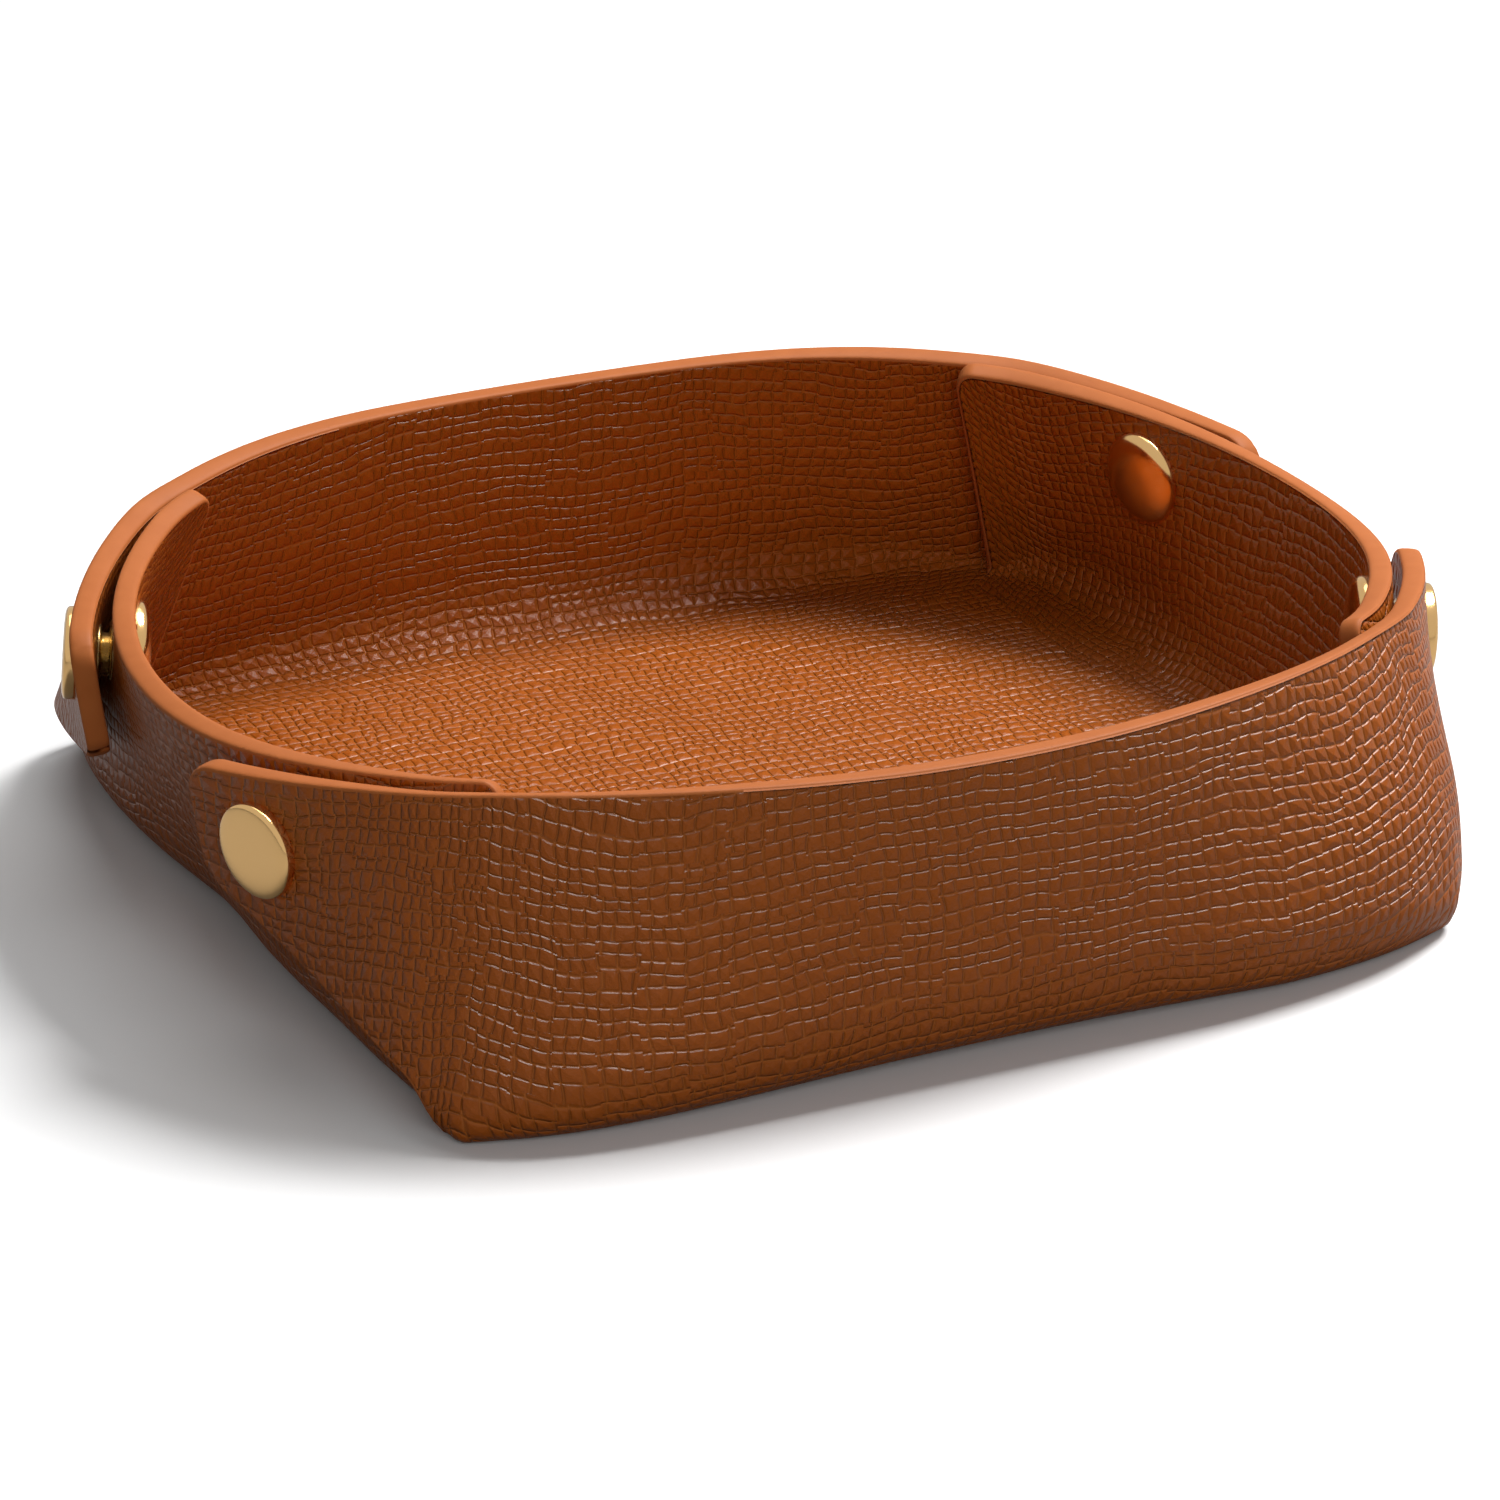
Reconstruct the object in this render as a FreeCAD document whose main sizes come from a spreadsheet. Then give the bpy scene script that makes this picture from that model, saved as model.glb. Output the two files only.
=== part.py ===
"""Leather valet tray: a square base with four soft-folded walls of two bonded hides.

The front and back walls carry ears that wrap round the corners, outside the left and right
walls, and close there on press studs. Each ear peels away about the corner line it bends on.
Origin: centre of the underside. +X right, +Y back, +Z up. Millimetres.
"""
import FreeCAD, Part
import Sketcher
import math
import os

Vector = FreeCAD.Vector
Rotation = FreeCAD.Rotation
Placement = FreeCAD.Placement

doc = FreeCAD.newDocument("valet_tray")

# Driving lengths, in millimetres
DIMENSIONS = {
    # leather: two hides bonded flesh to flesh, and the flat square of the base
    "hide": 1.75,
    "bond": 0.1,
    "panel_half": 74.5,
    "bend_mid": 10.0,
    "bend_corner": 0.8,
    # left and right walls, the rim measured outwards from the edge of the base panel
    "side_out_mid": 25.6,
    "side_rise_mid": 42.4,
    # front and back walls
    "front_out_mid": 17.4,
    "front_rise_mid": 48.2,
    "front_rise_far": 49.0,
    # corners, measured on the diagonal
    "corner_out": -8.5,
    "corner_rise": 48.4,
    # ears
    "layer_gap": 1.0,
    "hinge_gap": 0.6,
    "ear_end_height": 16.5,
    "ear_root_height": 46.5,
    "flap_round": 4.0,
    # caps and posts of the press studs
    "snap_drop": 11.6,
    "cap_radius": 7.4,
    "cap_height": 1.9,
    "cap_edge_round": 0.8,
    "cap_seat_gap": 0.45,
    "inner_cap_edge": 0.9,
    "inner_cap_dome": 2.9,
    "inner_seat_gap": 0.5,
    "post_radius": 1.6,
    "inner_post_radius": 1.1,
    "inner_post_top": 0.3,
    "rivet_radius": 2.2,
    "rivet_height": 0.25,
    "rivet_gap": 0.02,
    "post_gap": 0.1,
    "flange_gap": 0.25,
    "hole_gap": 0.3,
    # sockets, springs and studs, pressed from sheet
    "metal": 0.4,
    "socket_radius": 4.8,
    "cup_radius": 3.5,
    "lip_radius": 3.05,
    "mouth_gap": 0.25,
    "spring_radius": 2.6,
    "spring_wire": 0.5,
    "stud_radius": 4.8,
    "neck_radius": 1.7,
    "neck_top": 1.25,
    "head_radius": 2.12,
    "head_low": 1.45,
    "head_high": 1.52,
    "head_top": 1.7,
    "tip_radius": 1.5,
    "bore_radius": 1.2,
    "bore_top": 0.4,
}

# Driving angles, in degrees: leans are from upright, positive where a wall opens outwards
ANGLES = {
    "side_lean_mid": 17.9,
    "front_lean_mid": -4.5,
    "corner_lean": -21.5,
    "corner_turn": 45.0,
    "spring_sweep": 330.0,
}

sheet = doc.addObject("Spreadsheet::Sheet", "Sheet")
for row, (alias, value) in enumerate({**DIMENSIONS, **ANGLES}.items(), start=1):
    sheet.set(f"A{row}", alias)
    sheet.set(f"B{row}", str(value))
    sheet.setAlias(f"B{row}", alias)
doc.recompute()

# Cross-sections from the middle of a wall to its corner, as shares of the way there
STATIONS = ("mid", "near", "snap", "far", "tip", "corner")
ALONG_SHARES = {"mid": 0.0, "near": 0.25, "snap": 0.43, "far": 0.68, "tip": 0.84, "corner": 1.0}
BEND_SHARES = {"mid": 0.0, "near": 0.06, "snap": 0.18, "far": 0.46, "tip": 0.7, "corner": 1.0}
SIDE_TURN_SHARES = {"mid": 0.0, "near": 0.318, "snap": 0.558, "far": 0.864, "tip": 1.0, "corner": 1.0}
SIDE_OUT_SHARES = {"mid": 0.0, "near": 0.066, "snap": 0.202, "far": 0.49, "tip": 0.72, "corner": 1.0}
SIDE_RISE_SHARES = {"mid": 0.0, "near": 0.167, "snap": 0.427, "far": 0.758, "tip": 0.9, "corner": 1.0}
SIDE_LEAN_SHARES = {"mid": 0.0, "near": 0.147, "snap": 0.372, "far": 0.822, "tip": 0.997, "corner": 1.0}
FRONT_TURN_SHARES = {"mid": 0.0, "near": 0.138, "snap": 0.28, "far": 0.531, "tip": 0.702, "corner": 1.0}
FRONT_OUT_SHARES = {"mid": 0.0, "near": 0.046, "snap": 0.149, "far": 0.423, "tip": 0.685, "corner": 1.0}
FRONT_RISE_SHARES = {"mid": 0.0, "near": 0.3, "snap": 0.8, "far": 1.0, "tip": 0.7}
FRONT_LEAN_SHARES = {"mid": 0.0, "near": 0.088, "snap": 0.294, "far": 0.712, "tip": 0.918, "corner": 1.0}
EAR_STATIONS = ("corner", "tip", "far", "snap", "near")
EAR_HEIGHT_SHARES = {"near": 0.0, "snap": 0.28, "far": 0.61, "tip": 0.81, "corner": 1.0}

# Sizes that follow from the driving ones
LEATHER = "(2 * Sheet.hide + Sheet.bond)"
LINING_DEPTH = "(Sheet.hide + Sheet.bond)"
LAP = f"({LEATHER} + Sheet.layer_gap)"
FRONT_CORNER_OUT = f"(Sheet.corner_out + {LAP} / cos(Sheet.corner_lean * 1 deg))"

# The two hides of a wall: depth of the outer face below the leather's outer face
LAYERS = {"hide": "0", "lining": LINING_DEPTH}

# Corners by name, as signs of X and Y
CORNERS = {"front_left": (-1, -1), "front_right": (1, -1), "back_left": (-1, 1), "back_right": (1, 1)}

nodes = []


def value_of(expression):
    """The present number of an expression in the sheet's names."""
    result = sheet.evalExpression(expression.replace("Sheet.", ""))
    return float(getattr(result, "Value", result))


def between(start, end, share):
    """Expression for the place a share of the way from start to end."""
    return f"({start} + ({end} - {start}) * {share})"


def side_station(station):
    """Expressions for one cross-section of the right wall."""
    return {
        "along": f"(Sheet.panel_half * {ALONG_SHARES[station]})",
        "turn": f"(Sheet.corner_turn * {SIDE_TURN_SHARES[station]})",
        "out": between("Sheet.side_out_mid", "Sheet.corner_out", SIDE_OUT_SHARES[station]),
        "rise": between("Sheet.side_rise_mid", "Sheet.corner_rise", SIDE_RISE_SHARES[station]),
        "lean": between("Sheet.side_lean_mid", "Sheet.corner_lean", SIDE_LEAN_SHARES[station]),
        "bend": between("Sheet.bend_mid", "Sheet.bend_corner", BEND_SHARES[station]),
    }


def front_station(station):
    """Expressions for one cross-section of the front wall, which ends on the ears' layer."""
    rise = "Sheet.corner_rise"
    if station != "corner":
        rise = between("Sheet.front_rise_mid", "Sheet.front_rise_far", FRONT_RISE_SHARES[station])
    return {
        "along": f"(Sheet.panel_half * {ALONG_SHARES[station]})",
        "turn": f"(Sheet.corner_turn * {FRONT_TURN_SHARES[station]})",
        "out": between("Sheet.front_out_mid", FRONT_CORNER_OUT, FRONT_OUT_SHARES[station]),
        "rise": rise,
        "lean": between("Sheet.front_lean_mid", "Sheet.corner_lean", FRONT_LEAN_SHARES[station]),
        "bend": between("Sheet.bend_mid", "Sheet.bend_corner", BEND_SHARES[station]),
    }


def new_body(label):
    """A body that is one sub-part of the tray."""
    body = doc.addObject("PartDesign::Body", label)
    body.Label = label
    nodes.append(body)
    return body


def origin_plane(body, role):
    """One of a body's own origin planes."""
    return next(item for item in body.Origin.OriginFeatures if item.Role == role)


def new_sketch(body, name, role, offset):
    """A sketch on an origin plane of its body, moved there by an offset."""
    sketch = body.newObject("Sketcher::SketchObject", name)
    sketch.AttachmentSupport = [(origin_plane(body, role), "")]
    sketch.MapMode = "FlatFace"
    sketch.AttachmentOffset = offset
    return sketch


def station_sketch(body, name, section, hand):
    """A sketch on the upright plane of a station: x outwards from the panel edge, y up."""
    turn = Rotation(Vector(0, hand, 0), value_of(section["turn"]))
    sketch = new_sketch(body, name, "XZ_Plane", Placement(Vector(), turn))
    sketch.setExpression("AttachmentOffset.Base.x", "Sheet.panel_half")
    sketch.setExpression("AttachmentOffset.Base.z", f"{-hand} * {section['along']}")
    return sketch


def relate(sketch, kind, *places):
    """Add a geometric constraint to a sketch."""
    sketch.addConstraint(Sketcher.Constraint(kind, *places))


def fix(sketch, expression, kind, *places):
    """Add a dimension to a sketch and bind it to an expression."""
    number = value_of(expression)
    if kind == "Angle":
        number = math.radians(number)
        expression = f"{expression} * 1 deg"
    index = sketch.addConstraint(Sketcher.Constraint(kind, *places, number))
    sketch.setExpression(f"Constraints[{index}]", expression)


def wall_profile(sketch, section, depth):
    """Cross-section of one hide of a wall: flat foot, round bend, straight leaning wall."""
    lean = f"({section['lean']} * 1 deg)"
    bend_outer = f"({section['bend']} + {LEATHER})"
    outer = f"({bend_outer} - {depth})"
    inner = f"({outer} - Sheet.hide)"
    middle_x = f"({section['out']} - ({bend_outer} + ({section['rise']} - {bend_outer})"
    middle_x += f" * sin({lean})) / cos({lean}))"
    top = f"({section['rise']} + {depth} * sin({lean}))"

    turn = math.radians(value_of(section["lean"]))
    normal = Vector(math.cos(turn), -math.sin(turn), 0)
    middle = Vector(value_of(middle_x), value_of(bend_outer), 0)
    rim = Vector(value_of(section["out"]), value_of(section["rise"]), 0) - normal * value_of(depth)
    big = value_of(outer)
    small = value_of(inner)
    down = Vector(0, -1, 0)
    foot = Vector(-middle.x, 0, 0)
    start = -math.pi / 2
    outer_arc = Part.ArcOfCircle(Part.Circle(middle, Vector(0, 0, 1), big), start, -turn)
    inner_arc = Part.ArcOfCircle(Part.Circle(middle, Vector(0, 0, 1), small), start, -turn)
    low = middle + down * big
    high = middle + down * small
    rim_inner = rim - normal * (big - small)
    sketch.addGeometry(Part.LineSegment(low + foot, low))
    sketch.addGeometry(outer_arc)
    sketch.addGeometry(Part.LineSegment(middle + normal * big, rim))
    sketch.addGeometry(Part.LineSegment(rim, rim_inner))
    sketch.addGeometry(Part.LineSegment(rim_inner, middle + normal * small))
    sketch.addGeometry(inner_arc)
    sketch.addGeometry(Part.LineSegment(high, high + foot))
    sketch.addGeometry(Part.LineSegment(high + foot, low + foot))

    relate(sketch, "Tangent", 0, 2, 1, 1)
    relate(sketch, "Tangent", 1, 2, 2, 1)
    relate(sketch, "Coincident", 2, 2, 3, 1)
    relate(sketch, "Coincident", 3, 2, 4, 1)
    relate(sketch, "Tangent", 4, 2, 5, 2)
    relate(sketch, "Tangent", 5, 1, 6, 1)
    relate(sketch, "Coincident", 6, 2, 7, 1)
    relate(sketch, "Coincident", 7, 2, 0, 1)
    relate(sketch, "Coincident", 1, 3, 5, 3)
    relate(sketch, "Horizontal", 0)
    relate(sketch, "Horizontal", 6)
    relate(sketch, "Vertical", 7)
    relate(sketch, "PointOnObject", 7, 2, -2)
    relate(sketch, "Parallel", 4, 2)
    relate(sketch, "Perpendicular", 3, 2)
    fix(sketch, middle_x, "DistanceX", 1, 3)
    fix(sketch, bend_outer, "DistanceY", 1, 3)
    fix(sketch, outer, "Radius", 1)
    fix(sketch, inner, "Radius", 5)
    fix(sketch, f"(90 - {section['lean']})", "Angle", 2)
    fix(sketch, top, "DistanceY", 2, 2)


def ear_section(station):
    """Side wall station that an ear lies over, set back at the corner line, and the ear's height."""
    section = side_station(station)
    if station == "corner":
        section["along"] = f"({section['along']} - Sheet.hinge_gap)"
    share = EAR_HEIGHT_SHARES[station]
    section["height"] = between("Sheet.ear_end_height", "Sheet.ear_root_height", share)
    return section


def ear_rim(section, depth):
    """Outer edge of one hide of an ear at its rim, which is level with the side wall's rim."""
    lean = f"({section['lean']} * 1 deg)"
    rim_x = f"({section['out']} + {LAP} / cos({lean}) - {depth} * cos({lean}))"
    rim_y = f"({section['rise']} + {depth} * sin({lean}))"
    return rim_x, rim_y


def ear_profile(sketch, section, depth):
    """Cross-section of one hide of an ear: a strip beside the side wall, from the rim down."""
    rim_x, rim_y = ear_rim(section, depth)

    turn = math.radians(value_of(section["lean"]))
    normal = Vector(math.cos(turn), -math.sin(turn), 0)
    rim = Vector(value_of(rim_x), value_of(rim_y), 0)
    drop = Vector(-math.sin(turn), -math.cos(turn), 0) * value_of(section["height"])
    across = normal * -value_of("Sheet.hide")
    corners = (rim + drop, rim, rim + across, rim + across + drop)
    for index in range(4):
        sketch.addGeometry(Part.LineSegment(corners[index], corners[(index + 1) % 4]))
    for index in range(4):
        relate(sketch, "Coincident", index, 2, (index + 1) % 4, 1)
    relate(sketch, "Perpendicular", 1, 0)
    relate(sketch, "Parallel", 2, 0)
    relate(sketch, "Parallel", 3, 1)
    fix(sketch, f"(90 - {section['lean']})", "Angle", 0)
    fix(sketch, rim_x, "DistanceX", 0, 2)
    fix(sketch, rim_y, "DistanceY", 0, 2)
    fix(sketch, section["height"], "Distance", 0)
    fix(sketch, "Sheet.hide", "Distance", 1)


def loft(body, sketches):
    """A smooth solid through cross-sections."""
    feature = body.newObject("PartDesign::AdditiveLoft", f"{body.Name}_loft")
    feature.Profile = sketches[0]
    feature.Sections = sketches[1:]
    feature.Ruled = False
    return feature


def wall_point(station, hand, drop):
    """A point on the right wall's outer face, a drop down the wall from its rim, and the way down."""
    section = side_station(station)
    lean = math.radians(value_of(section["lean"]))
    turn = math.radians(value_of(section["turn"])) * hand
    level = Vector(math.cos(turn), math.sin(turn), 0)
    base = Vector(value_of("Sheet.panel_half"), value_of(section["along"]) * hand, 0)
    rim = base + level * value_of(section["out"]) + Vector(0, 0, value_of(section["rise"]))
    down = level * -math.sin(lean) + Vector(0, 0, -math.cos(lean))
    return rim + down * drop, down


def snap_frame(hand):
    """Centre of a press stud on the right wall's outer face, and the face's outward normal there."""
    drop = value_of("Sheet.snap_drop")
    before = wall_point("near", hand, drop)[0]
    centre, down = wall_point("snap", hand, drop)
    after = wall_point("far", hand, drop)[0]
    arriving = centre - before
    leaving = after - centre
    along = arriving * (leaving.Length / arriving.Length) + leaving * (arriving.Length / leaving.Length)
    axis = down.cross(along) * hand
    axis.normalize()
    return centre, axis


def cut_through(body, name, sketch):
    """Cut a sketched outline straight through one hide."""
    doc.recompute()
    before = body.Shape.Volume
    pocket = body.newObject("PartDesign::Pocket", name)
    pocket.Profile = sketch
    pocket.Midplane = True
    pocket.setExpression("Length", f"4 * {LAP}")
    doc.recompute()
    if not body.Shape.Volume < before:
        raise RuntimeError(f"{name} cuts nothing")


def punch(body, name, hand, radius):
    """A round hole through a hide on the axis of a press stud."""
    centre, axis = snap_frame(hand)
    offset = Placement(centre, Rotation(Vector(0, 0, 1), axis))
    sketch = new_sketch(body, f"{name}_circle", "XY_Plane", offset)
    sketch.addGeometry(Part.Circle(Vector(), Vector(0, 0, 1), value_of(radius)))
    relate(sketch, "Coincident", 0, 3, -1, 1)
    fix(sketch, radius, "Radius", 0)
    cut_through(body, name, sketch)


def round_corner(body, name, section, hand, rim, inwards):
    """Round the upper corner of a flap that ends on a station, at its rim; inwards is along the rim."""
    lean = math.radians(value_of(section["lean"]))
    turn = math.radians(value_of(section["turn"])) * hand
    level = Vector(math.cos(turn), math.sin(turn), 0)
    base = Vector(value_of("Sheet.panel_half"), value_of(section["along"]) * hand, 0)
    place = base + level * value_of(rim[0]) + Vector(0, 0, value_of(rim[1]))
    along = Vector(-math.sin(turn), math.cos(turn), 0) * inwards
    down = level * -math.sin(lean) + Vector(0, 0, -math.cos(lean))
    offset = Placement(place, Rotation(along, down, along.cross(down), "XYZ"))
    sketch = new_sketch(body, f"{name}_outline", "XY_Plane", offset)
    radius = value_of("Sheet.flap_round")
    outside = Vector(-radius, -radius, 0)
    circle = Part.Circle(Vector(radius, radius, 0), Vector(0, 0, 1), radius)
    sketch.addGeometry(Part.ArcOfCircle(circle, math.pi, 3 * math.pi / 2))
    sketch.addGeometry(Part.LineSegment(Vector(radius, 0, 0), Vector(radius, -radius, 0)))
    sketch.addGeometry(Part.LineSegment(Vector(radius, -radius, 0), outside))
    sketch.addGeometry(Part.LineSegment(outside, Vector(-radius, radius, 0)))
    sketch.addGeometry(Part.LineSegment(Vector(-radius, radius, 0), Vector(0, radius, 0)))
    relate(sketch, "Tangent", 0, 2, -1)
    relate(sketch, "Tangent", 0, 1, -2)
    relate(sketch, "Coincident", 0, 2, 1, 1)
    relate(sketch, "Coincident", 1, 2, 2, 1)
    relate(sketch, "Coincident", 2, 2, 3, 1)
    relate(sketch, "Coincident", 3, 2, 4, 1)
    relate(sketch, "Coincident", 4, 2, 0, 1)
    relate(sketch, "Vertical", 1)
    relate(sketch, "Horizontal", 2)
    relate(sketch, "Vertical", 3)
    relate(sketch, "Horizontal", 4)
    fix(sketch, "Sheet.flap_round", "Radius", 0)
    relate(sketch, "Equal", 1, 4)
    fix(sketch, "Sheet.flap_round", "Distance", 1)
    cut_through(body, name, sketch)


def make_wall(label, stations, depth):
    """One hide of a wall that faces +X, from corner to corner."""
    body = new_body(label)
    sketches = []
    for hand in (-1, 1):
        names = STATIONS[::-1] if hand < 0 else STATIONS[1:]
        for station in names:
            section = stations(station)
            sketch = station_sketch(body, f"{label}_{station}_{hand + 1}", section, hand)
            wall_profile(sketch, section, depth)
            sketches.append(sketch)
    loft(body, sketches)
    return body


def make_ear(label, depth):
    """One hide of the ear at the front right corner."""
    body = new_body(label)
    sketches = []
    for station in EAR_STATIONS:
        section = ear_section(station)
        sketch = station_sketch(body, f"{label}_{station}", section, -1)
        ear_profile(sketch, section, depth)
        sketches.append(sketch)
    loft(body, sketches)
    end = ear_section("near")
    round_corner(body, f"{label}_round", end, -1, ear_rim(end, depth), -1)
    return body


def mirrored(source, label, normal):
    """The same piece on the opposite side of the tray."""
    copy = doc.addObject("Part::Mirroring", label)
    copy.Label = label
    copy.Source = source
    copy.Normal = normal
    nodes.append(copy)
    return copy


def revolved(label, places, arcs, corner):
    """A turned piece of a press stud: (radius, height) places joined by lines and axis-centred arcs."""
    body = new_body(label)
    sketch = new_sketch(body, f"{label}_profile", "XZ_Plane", Placement())
    points = [Vector(value_of(radius), value_of(height), 0) for radius, height in places]
    count = len(points)
    for index in range(count):
        first = points[index]
        second = points[(index + 1) % count]
        if index in arcs:
            sketch.addGeometry(axis_arc(first, second))
        else:
            sketch.addGeometry(Part.LineSegment(first, second))
    for index in range(count):
        relate(sketch, "Coincident", index, 2, (index + 1) % count, 1)
        if index in arcs:
            relate(sketch, "PointOnObject", index, 3, -2)
    for index, (radius, height) in enumerate(places):
        if radius == "0":
            relate(sketch, "PointOnObject", index, 1, -2)
        else:
            fix(sketch, radius, "DistanceX", index, 1)
        fix(sketch, height, "DistanceY", index, 1)
    turned = body.newObject("PartDesign::Revolution", f"{label}_turned")
    turned.Profile = sketch
    turned.ReferenceAxis = (sketch, ["V_Axis"])
    turned.Angle = 360
    seat(body, corner)
    return body


def axis_arc(first, second):
    """Arc from one profile point round to the next, its centre on the axis above them."""
    across = second.x * second.x - first.x * first.x
    rise = second.y * second.y - first.y * first.y
    height = (across + rise) / (2 * (second.y - first.y))
    centre = Vector(0, height, 0)
    begin = math.atan2(first.y - height, first.x)
    finish = math.atan2(second.y - height, second.x)
    circle = Part.Circle(centre, Vector(0, 0, 1), first.distanceToPoint(centre))
    return Part.ArcOfCircle(circle, begin, finish)


def seat(piece, corner):
    """Place a press stud piece on its axis at one corner of the tray."""
    centre, axis = snap_frame(1)
    sign_x, sign_y = CORNERS[corner]
    place = Vector(sign_x * centre.x, sign_y * centre.y, centre.z)
    direction = Vector(sign_x * axis.x, sign_y * axis.y, axis.z)
    piece.Placement = Placement(place, Rotation(Vector(0, 0, 1), direction))


# Heights along the axis of a press stud, from the side wall's outer face outwards
SOCKET_SEAT = "(Sheet.layer_gap + Sheet.hide - Sheet.flange_gap)"
SOCKET_FLOOR = f"({SOCKET_SEAT} - Sheet.metal)"
RIVET_TOP = f"({SOCKET_FLOOR} - Sheet.rivet_gap)"
CAP_SEAT = f"({LAP} + Sheet.cap_seat_gap)"
CAP_TOP = f"({CAP_SEAT} + Sheet.cap_height)"
STUD_FLOOR = "(Sheet.flange_gap - Sheet.hide)"
INNER_SEAT = f"(0 - {LEATHER} - Sheet.inner_seat_gap)"
LIP_TOP = "(Sheet.mouth_gap + Sheet.metal)"


def make_base():
    """The flat square of the base: outer hide below, lining above."""
    for label, low in (("base_hide", "0"), ("base_lining", LINING_DEPTH)):
        panel = doc.addObject("Part::Box", label)
        panel.Label = label
        panel.setExpression("Length", "2 * Sheet.panel_half")
        panel.setExpression("Width", "2 * Sheet.panel_half")
        panel.setExpression("Height", "Sheet.hide")
        panel.setExpression("Placement.Base.x", "-Sheet.panel_half")
        panel.setExpression("Placement.Base.y", "-Sheet.panel_half")
        panel.setExpression("Placement.Base.z", low)
        nodes.append(panel)


def make_walls():
    """Four walls, each of an outer hide and a lining."""
    for layer, depth in LAYERS.items():
        right = make_wall(f"right_wall_{layer}", side_station, depth)
        corner = side_station("corner")
        rim = (corner["out"], corner["rise"])
        round_corner(right, f"right_wall_{layer}_front_round", corner, -1, rim, 1)
        round_corner(right, f"right_wall_{layer}_back_round", corner, 1, rim, -1)
        radius = "(Sheet.stud_radius + Sheet.hole_gap)"
        if layer == "lining":
            radius = "(Sheet.inner_post_radius + Sheet.hole_gap)"
        punch(right, f"right_wall_{layer}_front_hole", -1, radius)
        punch(right, f"right_wall_{layer}_back_hole", 1, radius)
        mirrored(right, f"left_wall_{layer}", Vector(1, 0, 0))
        front = make_wall(f"front_wall_{layer}", front_station, depth)
        front.Placement = Placement(Vector(), Rotation(Vector(0, 0, 1), -90))
        mirrored(front, f"back_wall_{layer}", Vector(0, 1, 0))


def make_ears():
    """Four ears, each of an outer hide and a lining, punched for the press studs."""
    for layer, depth in LAYERS.items():
        front_right = make_ear(f"front_right_ear_{layer}", depth)
        radius = "(Sheet.post_radius + Sheet.hole_gap)"
        if layer == "lining":
            radius = "(Sheet.socket_radius + Sheet.hole_gap)"
        punch(front_right, f"front_right_ear_{layer}_hole", -1, radius)
        front_left = mirrored(front_right, f"front_left_ear_{layer}", Vector(1, 0, 0))
        mirrored(front_right, f"back_right_ear_{layer}", Vector(0, 1, 0))
        mirrored(front_left, f"back_left_ear_{layer}", Vector(0, 1, 0))


def make_outer_cap(corner):
    """Flat-topped cap with its post, riveted over inside the socket."""
    places = (
        ("0", f"({RIVET_TOP} - Sheet.rivet_height)"),
        ("Sheet.rivet_radius", f"({RIVET_TOP} - Sheet.rivet_height)"),
        ("Sheet.rivet_radius", RIVET_TOP),
        ("Sheet.post_radius", RIVET_TOP),
        ("Sheet.post_radius", CAP_SEAT),
        ("Sheet.cap_radius", CAP_SEAT),
        ("Sheet.cap_radius", CAP_TOP),
        ("0", CAP_TOP),
    )
    body = revolved(f"{corner}_outer_cap", places, (), corner)
    doc.recompute()
    turned = body.Tip
    heights = [edge.BoundBox.ZMin for edge in turned.Shape.Edges]
    index = heights.index(max(heights)) + 1
    fillet = body.newObject("PartDesign::Fillet", f"{corner}_outer_cap_round")
    fillet.Base = (turned, [f"Edge{index}"])
    fillet.setExpression("Radius", "Sheet.cap_edge_round")


def make_socket(corner):
    """Pressed cup with a flange that seats in the ear's lining and a lip that holds the spring."""
    places = (
        ("(Sheet.post_radius + Sheet.post_gap)", SOCKET_SEAT),
        ("(Sheet.post_radius + Sheet.post_gap)", SOCKET_FLOOR),
        ("Sheet.cup_radius", SOCKET_FLOOR),
        ("Sheet.cup_radius", LIP_TOP),
        ("Sheet.lip_radius", LIP_TOP),
        ("Sheet.lip_radius", "Sheet.mouth_gap"),
        ("(Sheet.cup_radius + Sheet.metal)", "Sheet.mouth_gap"),
        ("(Sheet.cup_radius + Sheet.metal)", SOCKET_FLOOR),
        ("Sheet.socket_radius", SOCKET_FLOOR),
        ("Sheet.socket_radius", SOCKET_SEAT),
    )
    revolved(f"{corner}_socket", places, (), corner)


def make_spring(corner):
    """Split wire ring that rests on the socket's lip and grips the neck of the stud."""
    ring = doc.addObject("Part::Torus", f"{corner}_spring")
    ring.Label = f"{corner}_spring"
    ring.setExpression("Radius1", "Sheet.spring_radius")
    ring.setExpression("Radius2", "Sheet.spring_wire")
    ring.setExpression("Angle3", "Sheet.spring_sweep * 1 deg")
    seat(ring, corner)
    axis = ring.Placement.Rotation.multVec(Vector(0, 0, 1))
    ring.Placement.Base += axis * value_of(f"({LIP_TOP} + Sheet.spring_wire)")
    nodes.append(ring)


def make_stud(corner):
    """Pressed stud: flange seated in the side wall's outer hide, neck and rounded head."""
    places = (
        ("Sheet.bore_radius", STUD_FLOOR),
        ("Sheet.stud_radius", STUD_FLOOR),
        ("Sheet.stud_radius", f"({STUD_FLOOR} + Sheet.metal)"),
        ("Sheet.neck_radius", f"({STUD_FLOOR} + Sheet.metal)"),
        ("Sheet.neck_radius", "Sheet.neck_top"),
        ("Sheet.head_radius", "Sheet.head_low"),
        ("Sheet.head_radius", "Sheet.head_high"),
        ("Sheet.tip_radius", "Sheet.head_top"),
        ("0", "Sheet.head_top"),
        ("0", "Sheet.bore_top"),
        ("Sheet.bore_radius", "Sheet.bore_top"),
    )
    revolved(f"{corner}_stud", places, (), corner)


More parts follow.
